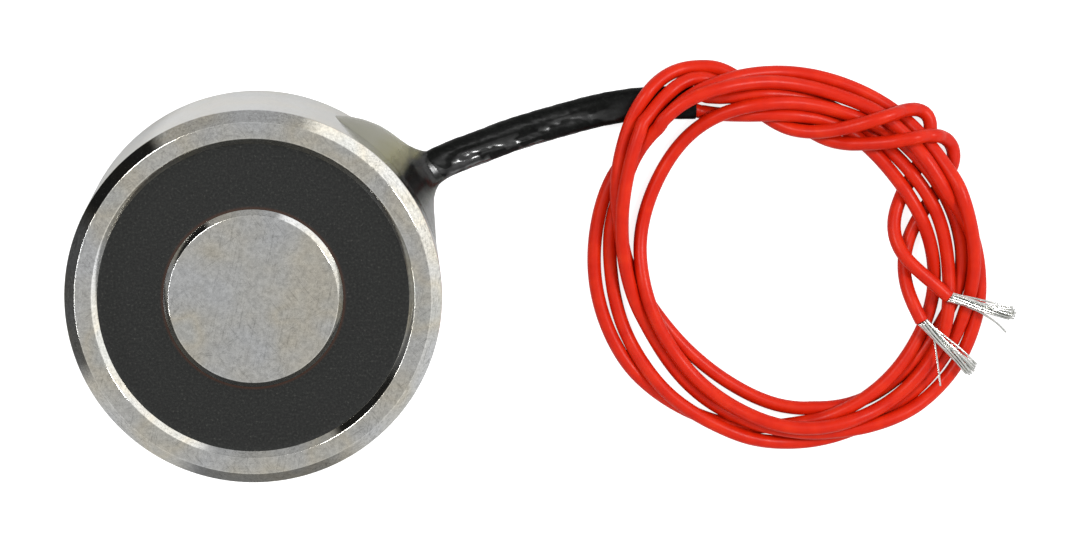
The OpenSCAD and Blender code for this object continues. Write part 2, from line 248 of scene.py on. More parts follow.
def startLine(side, stops, tail):
    beside = sleeveLine + sideways(sleeveLine) * side * (lead["diameter"] / 2 + lead["gap"])
    rest = smoothLine([beside[-2], beside[-1]] + coilPoints(stops) + tail, lead["step"])
    return beside, evenLine(softened(rest, lead["soften"]), lead["step"])[1:]


# Lets the leads settle: they keep their way round the coil, press no closer than
# they are thick, stay smooth, and sink until something carries them
settling = {
    "rounds": 220,
    "quickRounds": 70,
    "smoothing": [(4, 0.5), (2, 0.5), (1, 0.5)],   # [points apart, weight]
    "calmRounds": 30,                        # the last ones, with no smoothing wider than this:
    "calmStride": 2,
    "pushes": 3,                             # times in a round that wires are pushed apart
    "clearance": 0.02,                       # mm kept between two wires
    "sink": 0.012,                           # mm a round
    "pinnedPoints": 2,                       # points at each free end that never move
    "tailPoints": 16,                        # points there that are drawn back to their place
    "tailPull": 0.4,
    "pull": (0.05, 0.2),                     # the same for the coil: always, and more in tight bends
    "easedPoints": 20,                       # points at each free end over which smoothing fades
    "skipped": 5,                            # points along one wire that are never pushed apart
    "tightRadius": 3.5,                      # mm: a bend this tight is smoothed least
    "easyRadius": 4,                         # mm more than that: smoothed in full
    "leastSmoothing": 0.03,
    "bendReach": 4,                          # points on each side that share a bend
    "sidePush": 0.3,                         # share of a push that may move a wire sideways
    "orderKnown": 0.5,                       # mm of height that say which of two wires is above
    "lift": 0.4,                             # mm of push for a wire on the wrong side of another
}


def settle(starts, rounds):
    clearance = settling["clearance"]
    lines = [np.vstack(pair) for pair in starts]
    wanted = np.vstack(lines)
    place = wanted.copy()
    owner = np.concatenate([[k] * len(line) for k, line in enumerate(lines)])
    index = np.concatenate([np.arange(len(line)) for line in lines])
    inSleeve = np.concatenate([np.arange(len(line)) < len(pair[0])
                               for line, pair in zip(lines, starts)])
    fromEnd = np.concatenate([len(line) - 1 - np.arange(len(line)) for line in lines])
    radius = np.where(inSleeve, lead["diameter"] / 2 + sleeve["wall"], lead["diameter"] / 2)
    fixed = inSleeve | (fromEnd < settling["pinnedPoints"])
    inTail = fromEnd < settling["tailPoints"]
    near = (owner[:, None] == owner[None, :]) & (abs(index[:, None] - index[None, :]) < settling["skipped"])
    both = inSleeve[:, None] & inSleeve[None, :]
    apart = radius[:, None] + radius[None, :] + clearance
    apart[near | both] = 0
    above = wanted[:, None, 2] - wanted[None, :, 2]
    slack = []
    for line in lines:
        heading = np.gradient(line, axis=0)
        heading /= np.linalg.norm(heading, axis=1)[:, None]
        bend = np.linalg.norm(np.gradient(heading, axis=0), axis=1) / lead["step"]
        side = settling["bendReach"]
        wide = np.array([bend[max(0, i - side):i + side + 1].max() for i in range(len(bend))])
        ease = (1 / (wide + 1e-6) - settling["tightRadius"]) / settling["easyRadius"]
        slack.append(np.clip(ease, settling["leastSmoothing"], 1))
    eased = settling["easedPoints"]
    stiff = np.minimum(np.concatenate(slack), np.minimum(fromEnd, eased) / eased)
    always, inBends = settling["pull"]
    for turnNumber in range(rounds):
        last = turnNumber > rounds - settling["calmRounds"]
        strength = np.where(inTail, settling["tailPull"], always + inBends * (1 - stiff))
        pull = (wanted - place) * strength[:, None]
        pull[:, 2] = np.where(inTail, pull[:, 2], -settling["sink"])
        place = np.where(fixed[:, None], place, place + pull)
        for stride, weight in settling["smoothing"]:
            if last and stride > settling["calmStride"]:
                continue
            for k in range(len(lines)):
                mine = np.where(owner == k)[0]
                wire = place[mine]
                smooth = wire.copy()
                n = 2 * stride
                smooth[n:-n] = (-wire[:-2 * n] + 4 * wire[stride:-n - stride]
                                + 4 * wire[n + stride:-stride] - wire[2 * n:]) / 6
                share = (stiff[mine] * weight)[:, None]
                place[mine] = wire + np.where(fixed[mine][:, None], 0, (smooth - wire) * share)
        for again in range(settling["pushes"]):
            gap = place[:, None, :] - place[None, :, :]
            away = np.sqrt((gap ** 2).sum(axis=2)) + 1e-9
            rows, columns = np.where(away < apart)
            if len(rows) == 0:
                break
            push = gap[rows, columns]
            order = above[rows, columns]
            wrong = (abs(order) > settling["orderKnown"]) & (push[:, 2] * order < 0)
            push[wrong, 2] *= -1
            push[:, :2] *= settling["sidePush"]
            size = np.linalg.norm(push, axis=1)[:, None] + 1e-9
            short = (apart[rows, columns] - away[rows, columns])[:, None]
            short[wrong] = settling["lift"]
            move = np.zeros_like(place)
            count = np.zeros(len(place))
            np.add.at(move, rows, push / size * short * 0.5)
            np.add.at(count, rows, 1)
            scale = np.where(fixed, 0, 1 / np.maximum(1, np.sqrt(count)))[:, None]
            place = place + move * scale
            low = (place[:, 2] < lead["diameter"] / 2) & ~fixed
            place[low, 2] = lead["diameter"] / 2
    gap = place[:, None, :] - place[None, :, :]
    away = np.sqrt((gap ** 2).sum(axis=2))
    deep = np.where(apart > 0, apart - clearance - away, 0)
    worst = np.unravel_index(np.argmax(deep), deep.shape)
    print("leads settled: deepest overlap", round(float(deep.max()), 3), "mm at",
          np.round(place[worst[0]], 1), "share", round(float((deep.max(axis=1) > 0.05).mean()), 3))
    return [place[owner == k] for k in range(len(lines))]


settled = settle([startLine(-1, leadAStops, tails["a"][1:]),
                  startLine(1, leadBStops, tails["b"])],
                 settling["rounds"])
print("lengths", [round(lineLength(line), 1) for line in settled])


# Turns finished mesh code into a piece of the scene
def pieceFrom(name, bm):
    mesh = bpy.data.meshes.new(name)
    bm.to_mesh(mesh)
    bm.free()
    piece = bpy.data.objects.new(name, mesh)
    bpy.context.scene.collection.objects.link(piece)
    return piece


# A skin drawn through rings of points in mm, with its length in mm kept in the UV map
def skinMesh(name, rings, capped=True):
    bm = bmesh.new()
    uvLayer = bm.loops.layers.uv.new("along")
    rows = [[bm.verts.new(Vector(p) * mm) for p in ring] for ring in rings]
    sides = len(rows[0])
    middles = [np.mean(np.array(ring, float), axis=0) for ring in rings]
    along = [0.0]
    for i in range(1, len(rings)):
        along.append(along[-1] + float(np.linalg.norm(middles[i] - middles[i - 1])))
    for i in range(len(rows) - 1):
        for k in range(sides):
            n = (k + 1) % sides
            face = bm.faces.new((rows[i][k], rows[i][n], rows[i + 1][n], rows[i + 1][k]))
            face.smooth = True
            corners = ((k, i), (k + 1, i), (k + 1, i + 1), (k, i + 1))
            for loop, (across, row) in zip(face.loops, corners):
                loop[uvLayer].uv = (across / sides, along[row])
    if capped:
        bm.faces.new(list(reversed(rows[0])))
        bm.faces.new(rows[-1])
    bmesh.ops.recalc_face_normals(bm, faces=bm.faces)
    return pieceFrom(name, bm)


# Frames that run along a line without twisting
def carriedFrames(line):
    ahead = np.gradient(line, axis=0)
    ahead /= np.linalg.norm(ahead, axis=1)[:, None]
    side = np.cross([0, 0, 1], ahead[0])
    side /= np.linalg.norm(side)
    sides = []
    for direction in ahead:
        side = side - direction * side.dot(direction)
        side /= np.linalg.norm(side)
        sides.append(side.copy())
    sides = np.array(sides)
    return ahead, sides, np.cross(ahead, sides)


def tubeRings(line, radii, sides):
    ahead, side, up = carriedFrames(line)
    turns = np.arange(sides) * 2 * math.pi / sides
    return [[line[i] + radii[i] * (math.cos(t) * side[i] + math.sin(t) * up[i]) for t in turns]
            for i in range(len(line))]


# Insulated leads: a round tube with a slightly rounded cut end
def makeLead(name, line):
    drawn = smoothLine(line, lead["drawnStep"])
    radius = lead["diameter"] / 2
    ahead = (drawn[-1] - drawn[-2]) / np.linalg.norm(drawn[-1] - drawn[-2])
    radii = np.full(len(drawn), radius)
    rings = tubeRings(drawn, radii, lead["sides"])
    for out, inset in lead["endRings"]:
        rings.append([p + ahead * out + (drawn[-1] - p) * inset / radius for p in rings[len(drawn) - 1]])
    return skinMesh(name, rings), drawn


leadA, lineA = makeLead("lead_a", settled[0])
leadB, lineB = makeLead("lead_b", settled[1])
print("leads drawn")


# Stripped ends: a bundle of tinned strands, each its own thin wire, and one stray strand.
# Routes are in mm, and spread is how far the tips leave the bundle: [to the side, up, along]
strands = {
    "diameter": 0.2,
    "rings": [(0, 1), (0.21, 6), (0.41, 10)],      # [radius mm, strands on it]
    "step": 0.35,
    "sides": 8,
    "twist": 1.3,                            # radians from the insulation to the tips
    "wave": 0.05,                            # mm
    "a": {
        "route": [(65.1, -2.6, 3.1), (67.2, -3.2, 2.9), (69.4, -3.9, 2.8), (71.4, -4.4, 2.4)],
        "spread": (0.34, 0.12, 0.45),
        "stray": [(65.6, -2.9, 3.0), (66.9, -3.6, 2.7), (68.4, -4.3, 2.4), (70.0, -5.4, 2.0),
                  (70.9, -6.3, 1.6)],
    },
    "b": {
        "route": [(62.6, -4.9, 3.1), (64.2, -6.5, 2.9), (65.9, -8.1, 2.8), (67.6, -9.8, 2.5)],
        "spread": (0.42, 0.1, 0.3),
        "stray": [(63.1, -5.5, 3.0), (63.8, -6.6, 2.8), (64.1, -8.2, 2.9), (64.5, -11.2, 3.0)],
    },
}


def joinPieces(name, pieces):
    bm = bmesh.new()
    for piece in pieces:
        bm.from_mesh(piece.data)
        used = piece.data
        bpy.data.objects.remove(piece)
        bpy.data.meshes.remove(used)
    return pieceFrom(name, bm)


def makeStrands(name, key, tubeEnd):
    base = smoothLine(strands[key]["route"], strands["step"])
    base = base - base[0] + tubeEnd
    ahead, side, up = carriedFrames(base)
    share = np.linspace(0, 1, len(base))
    spread = strands[key]["spread"]
    made = []
    for ringRadius, count in strands["rings"]:
        for k in range(count):
            number = len(made)               # its sines give each strand a lean of its own
            angle = 2 * math.pi * k / count + share * strands["twist"]
            leave = share ** 1.5 * spread[0] * math.sin(2.4 * number + 0.7)
            rise = share ** 1.5 * spread[1] * math.sin(1.7 * number + 1.2)
            wave = strands["wave"] * np.sin(share * 7 + number) * share
            left = ringRadius * np.cos(angle) + leave + wave
            high = ringRadius * np.sin(angle) * (1 - 0.3 * share) + rise
            onward = share * spread[2] * math.sin(3.1 * number)
            line = base + left[:, None] * side + high[:, None] * up + onward[:, None] * ahead[-1]
            radii = np.full(len(line), strands["diameter"] / 2)
            made.append(skinMesh("strand", tubeRings(line, radii, strands["sides"])))
    stray = smoothLine(strands[key]["stray"], strands["step"])
    radii = np.full(len(stray), strands["diameter"] / 2)
    made.append(skinMesh("strand", tubeRings(stray, radii, strands["sides"])))
    return joinPieces(name, made)


strandsA = makeStrands("strands_a", "a", settled[0][-1])
strandsB = makeStrands("strands_b", "b", settled[1][-1])
print("stripped ends drawn")


# Flat shrink sleeve: it follows both leads, sinks a little between them and has creases
def makeSleeve():
    line = smoothLine(sleevePoints, sleeve["drawnStep"])
    side = sideways(line)
    ahead = np.gradient(line, axis=0)
    up = np.cross(ahead, side)
    up /= np.linalg.norm(up, axis=1)[:, None]
    along = distanceAlong(line)
    halfGap = lead["diameter"] / 2 + lead["gap"]
    skin = lead["diameter"] / 2 + sleeve["wall"]
    tightAt, tightReach = sleeve["tightAt"]
    sinkAll, sinkThere = sleeve["sink"]
    creaseAt, creaseWide = sleeve["crease"]

    def outline(i, thin):
        ring = []
        s = along[i]
        free = min(1, max(0, (s - sleeve["freeFrom"]) / 2))
        for k in range(sleeve["sides"]):
            t = 2 * math.pi * k / sleeve["sides"]
            x = math.cos(t)
            y = math.sin(t)
            radius = skin - thin
            wide = halfGap * math.tanh(x * 3.2) + radius * x
            high = radius * y
            valley = -0.2 - 0.12 * math.sin(s * 0.5 + 0.6)
            waist = math.exp(-((wide - valley) / sleeve["waist"][0 if y > 0 else 1]) ** 2)
            tight = math.exp(-((s - tightAt) / tightReach) ** 2)
            sink = sinkAll + sinkThere * tight + 0.07 * math.sin(s * 0.9 + 1) + 0.05 * math.sin(s * 2.3)
            high *= 1 - sink * waist * free
            pinch = 1 - abs(math.sin(s * 0.95 + 1.7 * x + 0.5)) ** 0.7
            ripple = sleeve["rippleDepth"] * math.sin(s * 4.1 + 3 * x) * math.sin(s * 1.3 + 2 * y)
            crease = sleeve["creaseDepth"] * free * tight * pinch
            high -= crease * max(0, y) * math.exp(-((wide - creaseAt) / creaseWide) ** 2)
            wire = math.sqrt(max(0, (lead["diameter"] / 2) ** 2 - (abs(wide) - halfGap) ** 2))
            high = math.copysign(max(abs(high), wire + 0.05 if wire else 0), y)
            ring.append(line[i] + side[i] * (wide + ripple * x) + up[i] * (high + ripple * y))
        return ring

    outer = [outline(i, 0) for i in range(len(line))]
    inner = [outline(i, sleeve["wall"] - 0.03) for i in range(len(line) - sleeve["overlap"], len(line))]
    last = len(line) - 1
    onward = ahead[last] / np.linalg.norm(ahead[last])
    lip = [p + onward * 0.06 + (line[last] - p) * 0.05 for p in outer[last]]
    rings = outer + [lip] + list(reversed(inner))
    return skinMesh("sleeve_skin", rings)


sleeveSkin = makeSleeve()
print("sleeve drawn")


# Turned steel: a profile of [radius mm, height mm, rounding mm] spun round the axis
rounded = {
    "points": 5,                             # on each rounded edge
    "holding": 0.03,                         # mm beside it, where a loop keeps the flat face flat
    "straight": 3.1,                         # radians: corners more open than this stay as they are
}


def roundedProfile(corners, closed):
    count = len(corners)
    holding = rounded["holding"]
    profile = []
    for i, (r, z, rounding) in enumerate(corners):
        here = np.array([r, z], float)
        if not closed and i in (0, count - 1):
            profile.append(tuple(here))
            continue
        before = np.array(corners[i - 1][:2], float) - here
        after = np.array(corners[(i + 1) % count][:2], float) - here
        before /= np.linalg.norm(before)
        after /= np.linalg.norm(after)
        angle = math.acos(max(-1, min(1, before.dot(after))))
        if rounding == 0 or angle > rounded["straight"]:
            profile.append(tuple(here))
            continue
        cut = rounding / math.tan(angle / 2)
        start = here + before * cut
        end = here + after * cut
        middle = here + (before + after) / np.linalg.norm(before + after) * rounding / math.sin(angle / 2)
        profile.append(tuple(start + before * holding))
        for t in np.linspace(0, 1, rounded["points"]):
            along = start + (end - start) * t - middle
            profile.append(tuple(middle + along / np.linalg.norm(along) * rounding))
        profile.append(tuple(end + after * holding))
    return profile


def turnedPiece(name, profile, segments, closed, bend=None):
    rings = []
    for r, z in profile:
        ring = []
        for k in range(segments):
            t = 2 * math.pi * k / segments
            radius = bend(r, z, t) if bend else r
            ring.append((radius * math.cos(t), radius * math.sin(t), z))
        rings.append(ring)
    if closed:
        rings.append(rings[0])
    piece = skinMesh(name, rings, not closed)
    bm = bmesh.new()
    bm.from_mesh(piece.data)
    if closed:
        bmesh.ops.remove_doubles(bm, verts=bm.verts, dist=0.0005 * mm)
    bmesh.ops.recalc_face_normals(bm, faces=bm.faces)
    bm.to_mesh(piece.data)
    bm.free()
    return piece


def cutHole(piece, radius, start, end):
    bm = bmesh.new()
    start = Vector(start) * mm
    end = Vector(end) * mm
    turned = (end - start).to_track_quat("Z", "Y").to_matrix().to_4x4()
    bmesh.ops.create_cone(bm, cap_ends=True, segments=64, radius1=radius * mm, radius2=radius * mm,
                          depth=(end - start).length, matrix=Matrix.Translation((start + end) / 2) @ turned)
    drill = pieceFrom("drill", bm)
    cut = piece.modifiers.new("cut", "BOOLEAN")
    cut.object = drill
    cut.operation = "DIFFERENCE"
    cut.solver = "EXACT"
    bpy.context.view_layer.update()
    shaped = bpy.data.meshes.new_from_object(piece.evaluated_get(bpy.context.evaluated_depsgraph_get()))
    piece.modifiers.clear()
    used = [piece.data, drill.data]
    piece.data = shaped
    bpy.data.objects.remove(drill)
    for mesh in used:
        bpy.data.meshes.remove(mesh)


housing = {
    "radius": 17, "height": 18, "bore": 14, "floor": 3, "spigot": 5,
    "rimChamfer": 1, "mouthChamfer": 0.55, "backChamfer": 0.5,
    "edge": 0.13,                            # rounding that tumbling and plating leave on an edge
    "spigotEdge": 0.04, "backEdge": 0.08, "mouthEdge": 0.05, "floorEdge": 0.1,
    "exitHole": 3.7,
    "sides": 192,
}
core = {
    "radius": 8.1, "chamfer": 0.5, "edge": 0.12,
    "seatedEdge": 0.05, "spigotEdge": 0.06, "countersinkEdge": 0.03,
    "faceMiddle": 0.4,                       # mm: radius of the cap in the middle of the pole face
    "drill": 1.65, "threadDepth": 0.33, "pitch": 0.7, "tapDepth": 8, "countersink": 0.55,
    "drillPoint": 0.6,                       # height of the drill's point, as a share of its radius
    "stepsPerTurn": 8,
    "threadStart": 0.5,                      # mm over which the thread gains its depth
    "plainEnd": 0.4,                         # mm of hole without thread above it
    "sides": 96,
}


def makeHousing():
    h = housing
    corners = [
        (h["spigot"], 0, h["spigotEdge"]), (h["radius"] - h["backChamfer"], 0, h["backEdge"]),
        (h["radius"], h["backChamfer"], h["backEdge"]),
        (h["radius"], h["height"] - h["rimChamfer"], h["edge"]),
        (h["radius"] - h["rimChamfer"], h["height"], h["edge"]),
        (h["bore"] + h["mouthChamfer"], h["height"], h["edge"]),
        (h["bore"], h["height"] - h["mouthChamfer"], h["mouthEdge"]), (h["bore"], h["floor"], h["floorEdge"]),
        (h["spigot"], h["floor"], h["mouthEdge"]),
    ]
    piece = turnedPiece("housing_skin", roundedProfile(corners, True), h["sides"], True)
    cutHole(piece, h["exitHole"] / 2, onExit(h["bore"] - 1), onExit(h["radius"] + 1.5))
    return piece


# The core, with the tapped hole in its back: the thread is a groove that winds up the hole
def makeCore():
    c = core
    top, floor, spigot, seated = housing["height"], housing["floor"], housing["spigot"], c["seatedEdge"]
    outside = roundedProfile([
        (c["faceMiddle"], top, 0), (c["radius"] - c["chamfer"], top, c["edge"]),
        (c["radius"], top - c["chamfer"], seated), (c["radius"], floor, seated),
        (spigot, floor, seated), (spigot, 0, c["spigotEdge"]),
        (c["drill"] + c["countersink"], 0, c["countersinkEdge"]),
        (c["drill"] + 0.02, c["countersink"] - 0.02, 0)], False)
    rows = int((c["tapDepth"] - c["countersink"]) / (c["pitch"] / c["stepsPerTurn"]))
    inside = [(c["drill"], c["countersink"] + (c["tapDepth"] - c["countersink"]) * i / rows)
              for i in range(rows + 1)]
    tip = [(0.05, c["tapDepth"] + c["drillPoint"] * c["drill"])]

    def thread(r, z, t):
        if r != c["drill"] or not c["countersink"] <= z < c["tapDepth"] - c["plainEnd"]:
            return r
        turn = (z / c["pitch"] - t / (2 * math.pi)) % 1
        start = min(1, (z - c["countersink"]) / c["threadStart"])
        return r + c["threadDepth"] * start * (1 - abs(2 * turn - 1))

    return turnedPiece("core_skin", outside + inside + tip, c["sides"], False, thread)


housingSkin = makeHousing()
coreSkin = makeCore()
print("steel turned")


# Clear glue round the exit: [distance from the sleeve mm, height over the wall mm]
glue = {
    "sides": 96,
    "rows": 40,
    "lumps": (0.09, 0.06),                   # share of the distance
    "sag": ([0, 1, 2.4, 4], [0, 0.03, 0.2, 0.62]),     # mm of drop at each height over the wall
    "leftProfile": [(-0.14, 3.6), (-0.03, 3.4), (0.03, 3.0), (0.19, 2.6), (0.6, 2.2), (1.2, 1.85),
                    (2.0, 1.66), (2.8, 1.56), (3.8, 1.38), (5.0, 0.98), (6.2, 0.42), (6.9, 0.04),
                    (7.1, -0.25)],
    "rightProfile": [(-0.14, 3.1), (-0.03, 2.95), (0.03, 2.55), (0.16, 2.1), (0.5, 1.65), (0.95, 1.2),
                     (1.5, 0.9), (2.1, 0.66), (2.9, 0.42), (3.7, 0.22), (4.4, 0.08), (4.9, 0.0),
                     (5.1, -0.25)],
    "upProfile": [(-0.14, 3.2), (-0.03, 3.0), (0.02, 2.55), (0.13, 2.15), (0.45, 1.75), (0.85, 1.4),
                  (1.3, 1.1), (1.8, 0.85), (2.4, 0.6), (3.0, 0.36), (3.6, 0.15), (4.0, 0.02),
                  (4.2, -0.25)],
}


def makeGlue():
    profiles = {key: np.array(glue[key]) for key in ("leftProfile", "rightProfile", "upProfile")}
    stops = np.arange(len(glue["upProfile"]))
    halfThick = sleeve["thickness"] / 2
    halfFlat = sleeve["width"] / 2 - halfThick
    rings = []
    for s in np.linspace(0, stops[-1], glue["rows"]):
        ring = []
        for k in range(glue["sides"]):
            t = 2 * math.pi * k / glue["sides"]
            toLeft = max(0.0, math.cos(t)) ** 1.5
            toRight = max(0.0, -math.cos(t)) ** 1.5
            toUp = 1 - toLeft - toRight
            reach = 0.0
            height = 0.0
            for weight, key in ((toLeft, "leftProfile"), (toRight, "rightProfile"), (toUp, "upProfile")):
                reach += weight * float(np.interp(s, stops, profiles[key][:, 0]))
                height += weight * float(np.interp(s, stops, profiles[key][:, 1]))
            reach *= 1 + glue["lumps"][0] * math.sin(2 * t + 0.7) + glue["lumps"][1] * math.sin(3 * t + 2.1)
            across = halfFlat * math.tanh(2.2 * math.cos(t)) + (halfThick + reach) * math.cos(t)
            rise = (halfThick + reach) * math.sin(t) - np.interp(height, *glue["sag"])
            out = max(height, 0)             # the higher the film, the closer it keeps to the sleeve
            turn = exitAngle + across / (housing["radius"] + out * (0.25 + 0.25 * min(3, out)))
            turn -= 0.01 * max(0, height - 1.6)          # the film leans with the sleeve
            radius = housing["radius"] + height
            ring.append((radius * math.cos(turn), radius * math.sin(turn), sleeve["exitHeight"] + rise))
        rings.append(ring)
    return skinMesh("glue_skin", rings)


glueSkin = makeGlue()
print("glue drawn")


# Cast potting: the resin creeps up the steel a little and its top is not quite flat
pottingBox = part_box("potting")
potting = {
    "inside": 8.1,
    "outside": pottingBox[1][0] / mm,
    "bottom": pottingBox[0][2] / mm,
    "top": pottingBox[1][2] / mm,
    "dip": 0.08,                             # mm from the highest point to the middle of the resin
    "creep": 0.09,                           # mm up the steel, and how far from it
    "creepWidth": 0.3,
    "waves": (0.014, 0.006),                 # mm: long and short
    "sides": 240,
    "rows": 30,
}


def makePotting():
    around = potting["sides"]
    longWave, shortWave = potting["waves"]
    span = potting["outside"] - potting["inside"]
    shares = [0.5 - 0.5 * math.cos(math.pi * i / potting["rows"]) for i in range(potting["rows"] + 1)]
    top = [(potting["inside"] + span * share, True) for share in reversed(shares)]
    rings = []
    for radius, onTop in [(potting["outside"], False)] + top + [(potting["inside"], False)]:
        ring = []
        for k in range(around):
            t = 2 * math.pi * k / around
            x = radius * math.cos(t)
            y = radius * math.sin(t)
            if onTop:
                wall = min(radius - potting["inside"], potting["outside"] - radius)
                creep = potting["creep"] * math.exp(-wall / potting["creepWidth"])
                z = potting["top"] - potting["dip"] + creep
                z += longWave * math.sin(0.55 * x + 0.4) * math.sin(0.47 * y - 0.8)
                z += shortWave * math.sin(1.7 * x - 1.1 * y)
            else:
                z = potting["bottom"]
            ring.append((x, y, z))
        rings.append(ring)
    piece = skinMesh("potting_skin", rings, False)
    bm = bmesh.new()
    bm.from_mesh(piece.data)
    bm.verts.ensure_lookup_table()
    last = (len(rings) - 1) * around
    for k in range(around):
        n = (k + 1) % around
        bm.faces.new((bm.verts[k], bm.verts[n], bm.verts[last + n], bm.verts[last + k]))
    bmesh.ops.recalc_face_normals(bm, faces=bm.faces)
    bm.to_mesh(piece.data)
    bm.free()
    return piece


pottingSkin = makePotting()
print("potting drawn")


# Materials
def hexColour(code):
    values = [int(code[i:i + 2], 16) / 255 for i in (1, 3, 5)]
    return tuple(v / 12.92 if v <= 0.04045 else ((v + 0.055) / 1.055) ** 2.4 for v in values) + (1.0,)


def patternScale(sizeMm):
    return 1 / (sizeMm * mm)


# Links sockets of a node: a source is an output, or a node whose first output is meant
def feed(node, links):
    for key, source in links.items():
        socket = source.outputs[0] if hasattr(source, "outputs") else source
        node.id_data.links.new(socket, node.inputs[key])


# Adds a node: settings are its sockets' values and its options, and stops are a colour ramp's
# [position, colour], where a plain number is a grey level
def addNode(tree, kind, settings=None, links=None, stops=()):
    node = tree.nodes.new(kind)
    for key, value in (settings or {}).items():
        if isinstance(key, int) or key in node.inputs:
            node.inputs[key].default_value = value
        else:
            setattr(node, key, value)
    for i, (position, colour) in enumerate(stops):
        elements = node.color_ramp.elements
        element = elements[i] if i < 2 else elements.new(position)
        element.position = position
        element.color = hexColour(colour) if isinstance(colour, str) else (colour, colour, colour, 1)
    feed(node, links or {})
    return node


def startMaterial(name, settings):
    material = bpy.data.materials.new(name)
    material.use_nodes = True
    tree = material.node_tree
    tree.nodes.clear()
    shader = addNode(tree, "ShaderNodeBsdfPrincipled", settings)
    addNode(tree, "ShaderNodeOutputMaterial", None, {"Surface": shader})
    place = addNode(tree, "ShaderNodeTexCoord").outputs["Object"]
    return material, tree, shader, place


# Nickel-plated steel, turned: a soft grey mirror with faint patches of tint, a fine grain that
# dulls the flats more than the rounded edges, and fine scratches from handling
plating = {
    "patchSize": 6.5,                        # mm
    "tints": [(0.36, "#CACBCB"), (0.48, "#CBCAC5"), (0.58, "#CFCABD"), (0.68, "#C9C9C4")],
    "grainSize": 0.35,                       # mm, coarser than the real grain, so that it shows
    "shade": (0.8, 1.1),                     # how dark and how bright the grain makes the metal
    "haze": (0.1, 0.2),                      # roughness of the flats, by the grain
    "edgeRoughness": 0.07,
    "flatFrom": (0.93, 0.99),                # a face's upward share, where it starts to count as flat
    "scratches": [(12, 3.5, 0.56), (57, 2.6, 0.52), (-38, 3.0, 0.54), (88, 2.2, 0.5)],
    "scratchWidth": 1 / 30,                  # share of a scratch's length
    "scratchEdge": (0.6, 0.68),
    "scratchDark": 0.3,
    "scratchRoughness": 0.15,
}


# Scratches along one direction, in patches: [degrees, length mm, share of the surface]
def addScratches(tree, place, degrees, lengthMm, share):
    turned = addNode(tree, "ShaderNodeVectorRotate", {"Angle": math.radians(degrees)}, {"Vector": place})
    drawn = addNode(tree, "ShaderNodeVectorMath", {"operation": "MULTIPLY", 1: (1, 0.03, 1)}, {0: turned})
    widthMm = lengthMm * plating["scratchWidth"]
    lines = addNode(tree, "ShaderNodeTexNoise", {
        "Scale": patternScale(widthMm), "Detail": 1, "Roughness": 0.5}, {"Vector": drawn})
    gate = addNode(tree, "ShaderNodeTexNoise", {
        "Scale": patternScale(lengthMm), "Detail": 2, "Roughness": 0.5}, {"Vector": turned})
    low, high = plating["scratchEdge"]
    fine = addNode(tree, "ShaderNodeMapRange", {"From Min": low, "From Max": high}, {"Value": lines})
    patch = addNode(tree, "ShaderNodeMapRange", {
        "From Min": 1 - share, "From Max": 1.1 - share}, {"Value": gate})
    return addNode(tree, "ShaderNodeMath", {"operation": "MULTIPLY"}, {0: fine, 1: patch})


def platedSteel():
    material, tree, shader, place = startMaterial("nickel_plated_steel_turned", {"Metallic": 1.0})
    patches = addNode(tree, "ShaderNodeTexNoise", {
        "Scale": patternScale(plating["patchSize"]), "Detail": 2, "Roughness": 0.5}, {"Vector": place})
    tint = addNode(tree, "ShaderNodeValToRGB", None, {"Fac": patches}, plating["tints"])
    grain = addNode(tree, "ShaderNodeTexNoise", {
        "Scale": patternScale(plating["grainSize"]), "Detail": 5, "Roughness": 0.75}, {"Vector": place})
    scratched = None
    for degrees, lengthMm, share in plating["scratches"]:
        marks = addScratches(tree, place, degrees, lengthMm, share)
        if scratched is not None:
            marks = addNode(tree, "ShaderNodeMath", {"operation": "MAXIMUM"}, {0: marks, 1: scratched})
        scratched = marks
    dim, bright = plating["shade"]
    shade = addNode(tree, "ShaderNodeMapRange", {
        "From Min": 0.36, "From Max": 0.64, "To Min": dim, "To Max": bright}, {"Value": grain})
    dark = addNode(tree, "ShaderNodeMath", {
        "operation": "MULTIPLY_ADD", 1: -plating["scratchDark"]}, {0: scratched, 2: shade})
    mixed = addNode(tree, "ShaderNodeMix", {"data_type": "RGBA", "blend_type": "MULTIPLY", "Factor": 1.0})
    feed(mixed, {"A": tint, "B": dark})
    smooth, rough = plating["haze"]
    haze = addNode(tree, "ShaderNodeMapRange", {
        "From Min": 0.3, "From Max": 0.7, "To Min": smooth, "To Max": rough}, {"Value": grain})
    ground = addNode(tree, "ShaderNodeMath", {
        "operation": "MULTIPLY_ADD", 1: plating["scratchRoughness"]}, {0: scratched, 2: haze})
    normal = addNode(tree, "ShaderNodeNewGeometry").outputs["True Normal"]
    facing = addNode(tree, "ShaderNodeSeparateXYZ", None, {0: normal}).outputs["Z"]
    low, high = plating["flatFrom"]
    flat = addNode(tree, "ShaderNodeMapRange", {"From Min": low, "From Max": high}, {"Value": facing})
    roughness = addNode(tree, "ShaderNodeMix", {"A": plating["edgeRoughness"]}, {"Factor": flat, "B": ground})
    height = addNode(tree, "ShaderNodeMath", {"operation": "MULTIPLY_ADD", 1: -1.0}, {0: scratched, 2: grain})
    strength = addNode(tree, "ShaderNodeMath", {"operation": "MULTIPLY_ADD", 1: 0.12, 2: 0.03}, {0: flat})
    bump = addNode(tree, "ShaderNodeBump", {"Distance": 0.01 * mm}, {"Height": height, "Strength": strength})
    feed(shader, {"Base Color": mixed.outputs["Result"], "Roughness": roughness, "Normal": bump})
    return material
